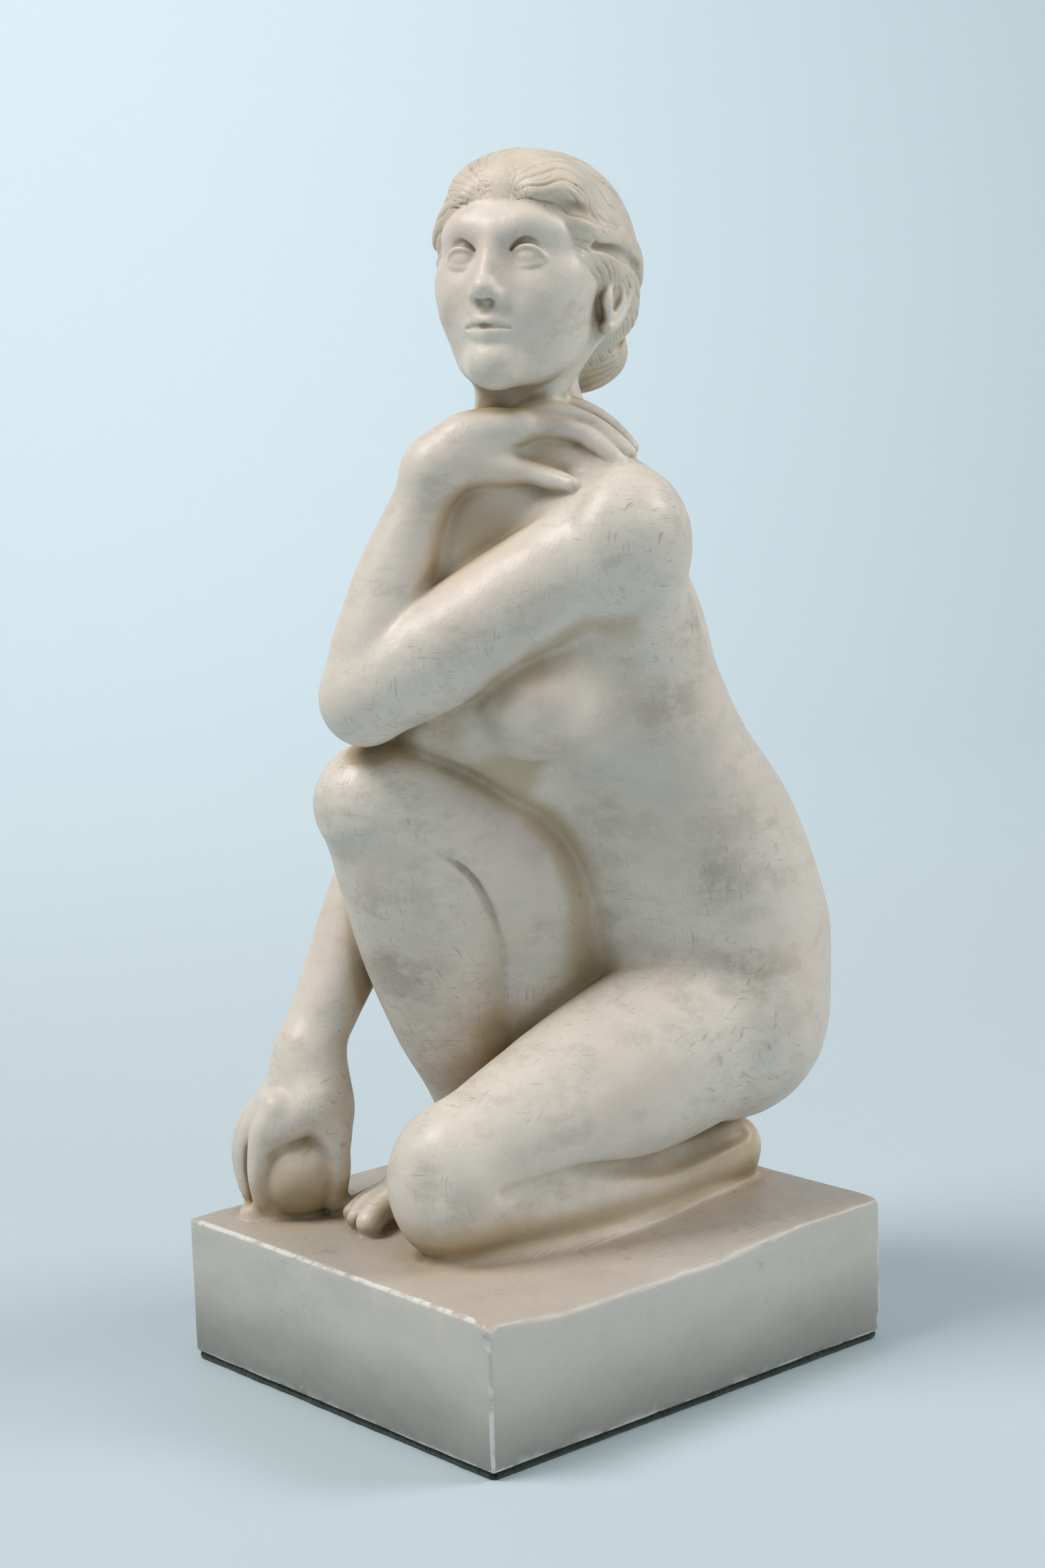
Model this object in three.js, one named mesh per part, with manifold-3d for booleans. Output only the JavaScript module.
// Alabaster sculpture: a woman kneeling on a rectangular plinth, carved in one block, with a felt pad below.
// Millimetres, +Z up. The origin is the middle of the felt's underside. The figure faces -Y, its left is +X.
// The figure is one distance field: tapering limbs and ellipsoids whose joins are rounded or left as creases.

import * as THREE from 'three';
import Module from 'manifold-3d';

// Block and pad
const PLINTH_WIDTH = 164;
const PLINTH_DEPTH = 186;
const PLINTH_HEIGHT = 50;
const PLINTH_CORNER = 4;
const PLINTH_ARRIS = 1;
const FELT_THICKNESS = 2.5;
const FELT_INSET = 1;
const PLINTH_TOP = FELT_THICKNESS + PLINTH_HEIGHT;

// Joints of the body
const HEAD = [3.5, 8, 383];
const HEAD_YAW = 24;
const HEAD_LIFT = -10;
const L_HIP = [35, 62, 119];
const L_KNEE = [20, -50, 82];
const L_ANKLE = [23, 70, 62];
const R_HIP = [-24, 50, 137];
const R_KNEE = [-27, -43.5, 203];
const R_ANKLE = [-28, 2, 66];
const L_SHOULDER = [44, 8, 292];
const L_ELBOW = [-15, -56, 242];
const L_WRIST = [-4, -31, 318];
const R_SHOULDER = [-44, 8, 288];
const R_ELBOW = [-57, -9, 190];
const R_WRIST = [-60, -53, 110];
const BALL = [-57.5, -61.5, 67.5];
const BALL_RADIUS = 16;

// Widths of the joins between forms
const CREASE = 3;
const FOLD = 5;
const SOFT = 13;

// Sampling: facets of about CELL on the body and HEAD_CELL on the head
const CELL = 8.9;
const HEAD_CELL = 4.6;
const NECK_START = 296;
const NECK_END = 340;
const GRID_LOW = [-92, -104, 30];
const GRID_HIGH = [92, 124, 436];
const CURVE_STEPS = 3;
const SETTLE_LIMIT = 1;

// Vector helpers on plain [x, y, z] arrays
const sub = (a, b) => [a[0] - b[0], a[1] - b[1], a[2] - b[2]];
const dot = (a, b) => a[0] * b[0] + a[1] * b[1] + a[2] * b[2];
const length = (a) => Math.sqrt(dot(a, a));
const along = (a, b, t) => a.map((value, n) => value + (b[n] - value) * t);
const clamp = THREE.MathUtils.clamp;
const smoothstep = THREE.MathUtils.smoothstep;

// Joins and cuts of two distances, rounded by k
function merge(a, b, k) {
  const h = Math.max(k - Math.abs(a - b), 0) / k;
  return Math.min(a, b) - h * h * k * 0.25;
}

function carve(a, b, k) {
  const h = Math.max(k - Math.abs(a + b), 0) / k;
  return Math.max(a, -b) + h * h * k * 0.25;
}

function blob(centre, radii) {
  return (p) => {
    const q = sub(p, centre);
    const outer = Math.hypot(q[0] / radii[0], q[1] / radii[1], q[2] / radii[2]);
    const inner = Math.hypot(q[0] / radii[0] ** 2, q[1] / radii[1] ** 2, q[2] / radii[2] ** 2);
    return outer * (outer - 1) / Math.max(inner, 1e-6);
  };
}

// Round-ended cone between two rows [x, y, z, radius]
function cone(a, b) {
  const axis = sub(b, a);
  const span = length(axis);
  const sine = (a[3] - b[3]) / span;
  const cosine = Math.sqrt(Math.max(1 - sine * sine, 1e-6));
  return (p) => {
    const v = sub(p, a);
    const run = dot(v, axis) / span;
    const out = Math.sqrt(Math.max(dot(v, v) - run * run, 0));
    const foot = clamp(run - out * sine / cosine, 0, span);
    return Math.hypot(run - foot, out) - (a[3] + (b[3] - a[3]) * foot / span);
  };
}

// Smooth curve through rows of numbers: the row at place t, counted in rows
function curve(rows, t) {
  const n = clamp(Math.floor(t), 0, rows.length - 2);
  const u = clamp(t - n, 0, 1);
  const slope = (m) => {
    const low = Math.max(m - 1, 0);
    const high = Math.min(m + 1, rows.length - 1);
    return rows[m].map((value, c) => (rows[high][c] - rows[low][c]) / (high - low));
  };
  const start = slope(n);
  const end = slope(n + 1);
  return rows[n].map((value, c) => (2 * u ** 3 - 3 * u ** 2 + 1) * value
    + (u ** 3 - 2 * u ** 2 + u) * start[c]
    + (3 * u ** 2 - 2 * u ** 3) * rows[n + 1][c]
    + (u ** 3 - u ** 2) * end[c]);
}

function tube(rows) {
  const cones = rows.slice(1).map((row, n) => cone(rows[n], row));
  return (p) => cones.reduce((least, part) => Math.min(least, part(p)), Infinity);
}

// Tapering tube through a few rows [x, y, z, radius]
function through(rows) {
  const count = (rows.length - 1) * CURVE_STEPS;
  return tube(Array.from({ length: count + 1 }, (_, n) => curve(rows, n / CURVE_STEPS)));
}

// Limb from a to b with radii at even steps, its middle moved sideways by bow
function limb(a, b, radii, bow = [0, 0, 0]) {
  const rows = radii.map((radius) => [radius]);
  const count = (radii.length - 1) * CURVE_STEPS;
  return tube(Array.from({ length: count + 1 }, (_, n) => {
    const t = n / count;
    const centre = along(a, b, t).map((value, c) => value + bow[c] * 4 * t * (1 - t));
    return [...centre, ...curve(rows, n / CURVE_STEPS)];
  }));
}

// Torso sections: rows of height, centre x, centre y, half width, half depth and turn in degrees
function loft(sections) {
  const low = sections[0][0];
  const high = sections[sections.length - 1][0];
  return (p) => {
    const z = clamp(p[2], low, high);
    let n = 0;
    while (n < sections.length - 2 && z > sections[n + 1][0]) {
      n += 1;
    }
    const t = n + (z - sections[n][0]) / (sections[n + 1][0] - sections[n][0]);
    const [, cx, cy, width, depth, turn] = curve(sections, t);
    const yaw = THREE.MathUtils.degToRad(turn);
    const dx = p[0] - cx;
    const dy = p[1] - cy;
    const x = dx * Math.cos(yaw) + dy * Math.sin(yaw);
    const y = dy * Math.cos(yaw) - dx * Math.sin(yaw);
    const outer = Math.hypot(x / width, y / depth);
    const inner = Math.hypot(x / width ** 2, y / depth ** 2);
    const side = outer * (outer - 1) / Math.max(inner, 1e-6);
    const over = Math.max(low - p[2], p[2] - high);
    return over > 0 ? Math.hypot(Math.max(side, 0), over) : Math.max(side, over);
  };
}

// Union of several forms with one rounding
function blend(k, ...forms) {
  return (p) => forms.slice(1).reduce((d, form) => merge(d, form(p), k), forms[0](p));
}

function makeTrunk() {
  const core = loft([
    [108, 8, 62, 48, 36, 6],
    [150, 9, 64, 57, 42, 6],
    [195, 8, 51, 52, 42, 4],
    [240, 4, 27, 47, 39, 2],
    [275, 1, 15, 47, 34, 0],
    [312, 0, 12, 28, 22, 0],
  ]);
  const belly = blob([-14, 18, 208], [30, 24, 24]);
  const fold = blob([-33, -6, 217], [12, 14, 12]);
  const leftBreast = blob([19, -9, 240], [22, 20, 21]);
  const rightBreast = blob([-20, -10, 236], [23, 21, 24]);
  const leftSeat = blob([34, 63, 120], [36, 35, 37]);
  const rightSeat = blob([-24, 64, 122], [37, 37, 37]);
  const leftBack = through([
    [40, 14, 288, 17],
    [35, 33, 248, 18.5],
    [33, 51, 212, 20.5],
    [34, 69, 180, 25],
    [34, 72, 148, 31],
  ]);
  const rightBack = through([
    [-37, 16, 286, 17],
    [-30, 32, 248, 18.5],
    [-21, 50, 212, 20.5],
    [-16, 67, 180, 25],
    [-16, 70, 148, 31],
  ]);
  const girdle = cone([-40, 10, 290, 20], [42, 9, 294, 20]);
  const leftSlope = cone([2, 15, 323, 13], [38, 14, 304, 16]);
  const rightSlope = cone([2, 15, 323, 13], [-36, 14, 302, 16]);
  const neck = limb([0, 15, 300], [1, 9, 354], [20, 16, 15.5]);
  const front = blend(SOFT, core, belly, leftBreast, rightBreast, fold);
  const back = blend(SOFT, blend(CREASE, leftSeat, rightSeat), leftBack, rightBack);
  const solid = blend(SOFT, front, back, girdle, leftSlope, rightSlope, neck);
  const spine = through([
    [1, 40, 306, 2],
    [3, 51, 285, 4.5],
    [4, 67, 250, 5],
    [7, 93, 205, 4],
    [8, 108, 172, 1],
  ]);
  return (p) => carve(solid(p), spine(p), SOFT);
}

function makeHead() {
  const skull = blob([0, 6, 8], [31, 36, 32]);
  const face = blob([0, -10, -8], [25.5, 26, 33]);
  const chin = blob([0, -30, -35], [8, 6.5, 6.5]);
  const nose = through([[0, -35, 5, 3], [0, -38.5, -6, 3.2], [0, -42.5, -14, 4.2]]);
  // One side of the face; the other is its mirror
  const jaw = limb([20, 2, -20], [4, -26, -34], [7, 7.5, 8], [3, 0, 0]);
  const cheek = blend(8, blob([13, -20, -13], [11, 12, 12]), jaw);
  const socket = blob([12, -38, 2], [8, 6.5, 6.5]);
  const eye = blob([12, -27.5, 0], [6.8, 6.8, 6]);
  const brow = through([[4, -36, 6, 1.6], [12, -34.5, 9, 1.9], [21, -28, 5.5, 1.4]]);
  const upperLip = through([[0, -38, -24.6, 1.8], [4, -37.4, -24.2, 1.7], [9.5, -33.5, -26, 1]]);
  const lowerLip = through([[0, -37.4, -28.6, 2.5], [4, -36.4, -28.2, 2.2], [8.5, -33.5, -26.6, 1]]);
  const ear = blob([29.5, 4, -6], [4, 7, 12]);
  // Hair combed back from the face to a low knot
  const crown = blend(12, blob([0, 7, 9], [32.5, 37, 33.5]), blob([0, 17, -6], [30, 25, 28]));
  const faceOpening = blob([0, -40, -18], [27, 34, 42]);
  const forelock = blob([0, -17, 25], [24, 14, 13]);
  const knot = blob([0, 28, -21], [20, 15, 17]);

  const turn = new THREE.Matrix4().makeRotationFromEuler(new THREE.Euler(
    THREE.MathUtils.degToRad(HEAD_LIFT), 0, THREE.MathUtils.degToRad(HEAD_YAW), 'ZXY'));
  const toHead = turn.invert();
  const local = new THREE.Vector3();
  return (p) => {
    local.set(...sub(p, HEAD)).applyMatrix4(toHead);
    const q = local.toArray();
    const sides = [q, [-q[0], q[1], q[2]]];
    let d = merge(skull(q), face(q), 12);
    for (const s of sides) {
      d = merge(d, cheek(s), 8);
    }
    d = merge(d, chin(q), 6);
    for (const s of sides) {
      d = carve(d, socket(s), 6);
      d = merge(d, eye(s), 1.5);
      d = merge(d, brow(s), 5);
    }
    d = merge(d, nose(q), 5);
    for (const s of sides) {
      d = merge(d, upperLip(s), 2);
      d = merge(d, lowerLip(s), 2);
      d = merge(d, ear(s), CREASE);
    }
    let hair = carve(crown(q), faceOpening(q), 4);
    hair = merge(hair, forelock(q), 10);
    hair = merge(hair, knot(q), CREASE);
    return merge(d, hair, 1.5);
  };
}

function makeLeftLeg() {
  const thigh = limb(L_HIP, L_KNEE, [34, 32, 28, 22], [3, 0, 1.5]);
  const knee = blob([19.5, -54.5, 77], [21, 21.5, 26]);
  const shin = limb([20, -50, 70], L_ANKLE, [19, 20, 18, 14, 12], [7, 0, 0]);
  const foot = through([[24, 62, 66, 13], [23, 74, 61, 12], [22, 75, 50, 9]]);
  return { thigh: blend(8, thigh, knee), shin: blend(8, shin, foot) };
}

function makeRightLeg() {
  const thigh = limb(R_HIP, R_KNEE, [41, 39, 35, 28, 21.5], [0, 0, 2]);
  const underside = blob([-14, 13, 127], [25, 28, 26]);
  const shin = limb([-27.5, -43, 202], R_ANKLE, [20, 21, 21, 18, 12.5, 12.5]);
  const calf = limb([-27, -22, 175], [-27, -10, 125], [18, 20, 15]);
  const foot = through([[-28, 10, 62, 12], [-28, -12, 66, 13], [-28, -36, 59, 10], [-28, -52, 55, 7]]);
  const toes = blob([-28, -42, 54], [15, 20, 8]);
  return { thigh: blend(SOFT, thigh, underside), shin: blend(8, shin, calf, foot, toes) };
}

function makeLeftArm() {
  const upper = limb(L_SHOULDER, L_ELBOW, [21, 21, 20.5, 19, 16]);
  const fore = limb([-16, -56, 240], L_WRIST, [15, 15.5, 14.3, 13, 10.5, 9.5], [-3, 0, 0]);
  return { upper, fore };
}

// The hand is bent back under the chin, its fingers reaching the collarbone
function makeLeftHand() {
  const palm = through([[-4, -31, 318, 9.5], [-1.5, -27, 324.5, 9], [5, -20.5, 325, 11], [8, -17, 324.5, 9]]);
  const index = through([
    [7, -18, 329.5, 7],
    [19, -4, 331.5, 5.4],
    [27, 7, 328, 4.6],
    [32, 13, 321.5, 3.8],
    [36, 17.5, 318, 3],
  ]);
  const middle = through([
    [5, -10, 330, 7],
    [16, 5, 333, 5.4],
    [24, 13, 329, 4.6],
    [29, 18, 324, 4],
    [33, 22, 320, 3],
  ]);
  const ring = through([[0, -6, 330, 7], [8, 8, 333, 5.4], [16, 17, 330, 4.6], [22, 24, 325, 4]]);
  const thumb = through([
    [5, -22, 319, 7.5],
    [16, -11, 316.5, 5.2],
    [24, -2, 313.5, 4.6],
    [27.5, 3, 311.5, 3.2],
  ]);
  return blend(FOLD, palm, blend(1.5, index, middle, ring), thumb);
}

// Stone left standing between the forearm and the chest
function makeArmWeb() {
  return through([[-14, -26, 250, 15], [-10, -21, 280, 17], [0, -10, 310, 13]]);
}

function makeRightArm() {
  const upper = limb(R_SHOULDER, R_ELBOW, [21, 18, 16, 15], [0, 2, 0]);
  const fore = limb(R_ELBOW, R_WRIST, [15, 15, 13.2, 11], [-1, 1, 0]);
  return blend(4, upper, fore);
}

// The hand grips a ball on the plinth with three fingers in front and the thumb behind
function makeRightHand() {
  const palm = through([[-60, -53, 110, 11], [-59, -59, 98, 13], [-60, -64, 87, 10]]);
  const knuckles = [[-53, -64], [-60, -67], [-66, -67]];
  const tips = [[-62, -73], [-67, -74], [-71, -70]];
  const fingers = knuckles.map(([kx, ky], n) => {
    const [tx, ty] = tips[n];
    return through([
      [kx + 1, ky + 6, 92, 6],
      [kx - 1, ky - 3, 83, 5.2],
      [tx - 1, ty - 2, 70, 4.6],
      [tx + 1, ty, 56, 4],
    ]);
  });
  const thumb = through([[-52, -50, 100, 8], [-47, -50, 86, 6.5], [-46, -52, 72, 5], [-46.5, -53, 55, 5]]);
  const hand = blend(FOLD, palm, blend(1.5, ...fingers), thumb);
  return blend(1.5, hand, blob(BALL, [BALL_RADIUS, BALL_RADIUS, BALL_RADIUS + 0.5]));
}

// The whole figure as one distance
function makeFigure() {
  const trunk = makeTrunk();
  const head = makeHead();
  const leftLeg = makeLeftLeg();
  const rightLeg = makeRightLeg();
  const leftArm = makeLeftArm();
  const leftHand = blend(FOLD, leftArm.fore, makeLeftHand());
  const rightArm = makeRightArm();
  const rightHand = makeRightHand();
  const armWeb = makeArmWeb();
  return (p) => {
    // Thighs and arms flow into the body behind and press against it in front
    let d = merge(trunk(p), leftLeg.thigh(p), CREASE + SOFT * smoothstep(p[1], 22, 55));
    d = merge(d, rightLeg.thigh(p), CREASE + SOFT * smoothstep(p[1], 30, 60));
    d = merge(d, rightLeg.shin(p), CREASE);
    d = merge(d, leftLeg.shin(p), CREASE);
    d = merge(d, leftArm.upper(p), CREASE + SOFT * smoothstep(p[0], 24, 42));
    d = merge(d, armWeb(p), FOLD);
    d = merge(d, rightArm(p), CREASE + SOFT * smoothstep(p[2], 262, 285));
    d = merge(d, leftHand(p), CREASE);
    d = merge(d, rightHand(p), FOLD);
    return merge(d, head(p), FOLD);
  };
}

// Sampling grid whose cells narrow from the body to the head
function makeGrid() {
  const cellAt = (z) => THREE.MathUtils.lerp(CELL, HEAD_CELL, smoothstep(z, NECK_START, NECK_END));
  const levels = [GRID_LOW[2]];
  while (levels[levels.length - 1] < GRID_HIGH[2]) {
    const z = levels[levels.length - 1];
    levels.push(z + cellAt(z));
  }
  const counts = [0, 1].map((n) => Math.ceil((GRID_HIGH[n] - GRID_LOW[n]) / CELL) + 1);
  const size = [counts[0], counts[1], levels.length];
  const position = (i, j, k) => {
    const shrink = cellAt(levels[k]) / CELL;
    const pull = (1 - shrink) / (1 - HEAD_CELL / CELL);
    const x = (GRID_LOW[0] + i * CELL) * shrink + HEAD[0] * pull;
    const y = (GRID_LOW[1] + j * CELL) * shrink + HEAD[1] * pull;
    return [x, y, levels[k]];
  };
  return { size, position };
}

// Moves a point along the field's slope onto its surface
function settle(field, start) {
  const step = 0.05;
  let p = start;
  for (let round = 0; round < 2; round += 1) {
    const value = field(p);
    const slope = [0, 1, 2].map((n) => {
      const ahead = p.map((number, m) => number + (m === n ? step : 0));
      return (field(ahead) - value) / step;
    });
    const move = clamp(value / Math.max(dot(slope, slope), 0.5), -SETTLE_LIMIT, SETTLE_LIMIT);
    p = p.map((number, n) => number - slope[n] * move);
  }
  return p;
}

// The twelve edges of a cell as pairs of corners, and its six faces as rings of corners.
// Corner bits: 1 is +x, 2 is +y, 4 is +z.
const EDGES = [];
for (let corner = 0; corner < 8; corner += 1) {
  for (const bit of [1, 2, 4]) {
    if (!(corner & bit)) {
      EDGES.push([corner, corner | bit]);
    }
  }
}
const FACES = [];
for (const [u, v, w] of [[1, 2, 4], [2, 4, 1], [4, 1, 2]]) {
  for (const base of [0, w]) {
    FACES.push([base, base | u, base | u | v, base | v]);
  }
}
const edgeOf = (a, b) => EDGES.findIndex((edge) => edge[0] === Math.min(a, b) && edge[1] === Math.max(a, b));

// Groups the crossed edges of a cell into closed loops; each loop gets one vertex of the surface
function loopsOf(inside) {
  const group = EDGES.map(([a, b], n) => (inside[a] === inside[b] ? -1 : n));
  const join = (a, b) => {
    const from = group[b];
    const to = group[a];
    group.forEach((value, n) => {
      if (value === from) {
        group[n] = to;
      }
    });
  };
  for (const ring of FACES) {
    const crossed = ring.filter((corner, n) => inside[corner] !== inside[ring[(n + 1) % 4]]).length;
    ring.forEach((corner, n) => {
      const before = ring[(n + 3) % 4];
      const after = ring[(n + 1) % 4];
      if (inside[corner] && !inside[before] && !inside[after]) {
        join(edgeOf(before, corner), edgeOf(corner, after));
      }
    });
    if (crossed === 2) {
      const sides = ring.map((corner, n) => [corner, ring[(n + 1) % 4]]);
      const pair = sides.filter(([a, b]) => inside[a] !== inside[b]);
      join(edgeOf(...pair[0]), edgeOf(...pair[1]));
    }
  }
  return group;
}

// Keeps the largest closed shell, so that a pocket sealed inside the stone is solid
function outerShell(vertices, triangles) {
  const parent = vertices.map((vertex, n) => n);
  const root = (n) => {
    let top = n;
    while (parent[top] !== top) top = parent[top];
    return top;
  };
  for (let n = 0; n < triangles.length; n += 3) {
    const top = root(triangles[n]);
    parent[root(triangles[n + 1])] = top;
    parent[root(triangles[n + 2])] = top;
  }
  const sizes = new Map();
  vertices.forEach((vertex, n) => sizes.set(root(n), (sizes.get(root(n)) ?? 0) + 1));
  const [largest] = [...sizes.entries()].reduce((best, entry) => (entry[1] > best[1] ? entry : best));
  const place = new Map();
  vertices.forEach((vertex, n) => {
    if (root(n) === largest) {
      place.set(n, place.size);
    }
  });
  return {
    vertices: vertices.filter((vertex, n) => place.has(n)),
    triangles: triangles.filter((n) => place.has(n)).map((n) => place.get(n)),
  };
}

// Closed triangle mesh of the surface where the field is zero
function meshField(field) {
  const { size, position } = makeGrid();
  const [nx, ny, nz] = size;
  const index = (i, j, k) => (k * ny + j) * nx + i;
  const points = [];
  const values = [];
  for (let k = 0; k < nz; k += 1) {
    for (let j = 0; j < ny; j += 1) {
      for (let i = 0; i < nx; i += 1) {
        const point = position(i, j, k);
        points.push(point);
        values.push(field(point));
      }
    }
  }
  const vertices = [];
  const vertexOf = new Map();
  for (let k = 0; k < nz - 1; k += 1) {
    for (let j = 0; j < ny - 1; j += 1) {
      for (let i = 0; i < nx - 1; i += 1) {
        const bits = [0, 1, 2, 3, 4, 5, 6, 7];
        const corners = bits.map((c) => index(i + (c & 1), j + ((c >> 1) & 1), k + (c >> 2)));
        const inside = corners.map((corner) => values[corner] < 0);
        if (inside.every((value) => value === inside[0])) {
          continue;
        }
        const group = loopsOf(inside);
        for (const loop of new Set(group.filter((value) => value >= 0))) {
          const members = EDGES.filter((edge, n) => group[n] === loop);
          const sum = [0, 0, 0];
          for (const [a, b] of members) {
            const t = values[corners[a]] / (values[corners[a]] - values[corners[b]]);
            along(points[corners[a]], points[corners[b]], t).forEach((value, n) => {
              sum[n] += value;
            });
          }
          const vertex = vertices.length;
          vertices.push(settle(field, sum.map((value) => value / members.length)));
          EDGES.forEach((edge, n) => {
            if (group[n] === loop) {
              vertexOf.set(`${corners[0]} ${n}`, vertex);
            }
          });
        }
      }
    }
  }
  const triangles = [];
  const steps = [[1, 0, 0], [0, 1, 0], [0, 0, 1]];
  for (let k = 1; k < nz - 1; k += 1) {
    for (let j = 1; j < ny - 1; j += 1) {
      for (let i = 1; i < nx - 1; i += 1) {
        steps.forEach((step, axis) => {
          const here = values[index(i, j, k)] < 0;
          const there = values[index(i + step[0], j + step[1], k + step[2])] < 0;
          if (here === there) {
            return;
          }
          // The four cells around this grid edge, in turning order
          const u = steps[(axis + 1) % 3];
          const v = steps[(axis + 2) % 3];
          const quad = [[0, 0], [1, 0], [1, 1], [0, 1]].map(([a, b]) => {
            const cell = [i, j, k].map((value, n) => value - a * u[n] - b * v[n]);
            const corner = a * (1 << ((axis + 1) % 3)) + b * (1 << ((axis + 2) % 3));
            return vertexOf.get(`${index(...cell)} ${edgeOf(corner, corner | (1 << axis))}`);
          });
          if (there) {
            quad.reverse();
          }
          const [p, q, r, s] = quad.map((n) => vertices[n]);
          const short = length(sub(p, r)) <= length(sub(q, s));
          triangles.push(...(short ? [0, 1, 2, 0, 2, 3] : [1, 2, 3, 1, 3, 0]).map((n) => quad[n]));
        });
      }
    }
  }
  return outerShell(vertices, triangles);
}

const wasm = await Module();
wasm.setup();

function toSolid(vertices, triangles) {
  const mesh = new wasm.Mesh({
    numProp: 3,
    vertProperties: new Float32Array(vertices.flat()),
    triVerts: new Uint32Array(triangles),
  });
  return new wasm.Manifold(mesh);
}

function toGeometry(solid) {
  const mesh = solid.getMesh();
  const geometry = new THREE.BufferGeometry();
  geometry.setAttribute('position', new THREE.BufferAttribute(new Float32Array(mesh.vertProperties), 3));
  geometry.setIndex(new THREE.BufferAttribute(new Uint32Array(mesh.triVerts), 1));
  return geometry;
}

// Rounded rectangle centred on the origin
function roundedRectangle(width, depth, radius) {
  const shape = new THREE.Shape();
  const x = width / 2 - radius;
  const y = depth / 2 - radius;
  shape.absarc(x, -y, radius, -Math.PI / 2, 0);
  shape.absarc(x, y, radius, 0, Math.PI / 2);
  shape.absarc(-x, y, radius, Math.PI / 2, Math.PI);
  shape.absarc(-x, -y, radius, Math.PI, Math.PI * 1.5);
  return shape;
}

// Closed loop of rounded rectangles stacked at [inset, height] levels, with flat ends
function stackedBlock(levels) {
  const rings = levels.map(([inset, z]) => {
    const width = PLINTH_WIDTH - 2 * inset;
    const depth = PLINTH_DEPTH - 2 * inset;
    const outline = roundedRectangle(width, depth, PLINTH_CORNER - inset).getPoints(5).slice(0, -1);
    const distinct = outline.filter((point, n) => point.distanceTo(outline[(n + 1) % outline.length]) > 1e-4);
    return distinct.map((point) => [point.x, point.y, z]);
  });
  const count = rings[0].length;
  const vertices = rings.flat();
  const triangles = [];
  for (let ring = 0; ring < rings.length - 1; ring += 1) {
    for (let n = 0; n < count; n += 1) {
      const a = ring * count + n;
      const b = ring * count + (n + 1) % count;
      triangles.push(a, b, b + count, a, b + count, a + count);
    }
  }
  const last = (rings.length - 1) * count;
  for (let n = 1; n < count - 1; n += 1) {
    triangles.push(0, n + 1, n);
    triangles.push(last, last + n, last + n + 1);
  }
  return toSolid(vertices, triangles);
}

function makeStone() {
  const { vertices, triangles } = meshField(makeFigure());
  const figure = toSolid(vertices, triangles);
  const plinth = stackedBlock([
    [PLINTH_ARRIS, FELT_THICKNESS],
    [0, FELT_THICKNESS + PLINTH_ARRIS],
    [0, PLINTH_TOP - PLINTH_ARRIS],
    [PLINTH_ARRIS, PLINTH_TOP],
  ]);
  const alabaster = new THREE.MeshStandardMaterial({ color: 0xe9dfd0, roughness: 0.42, metalness: 0 });
  const stone = new THREE.Mesh(toGeometry(plinth.add(figure)), alabaster);
  stone.name = 'alabaster_figure';
  return stone;
}

function makeFelt() {
  const pad = stackedBlock([[FELT_INSET, 0], [FELT_INSET, FELT_THICKNESS]]);
  const felt = new THREE.Mesh(
    toGeometry(pad),
    new THREE.MeshStandardMaterial({ color: 0x10241c, roughness: 0.95, metalness: 0 }),
  );
  felt.name = 'felt_pad';
  return felt;
}

const sculpture = new THREE.Group();
sculpture.add(makeStone());
sculpture.add(makeFelt());

export default sculpture;
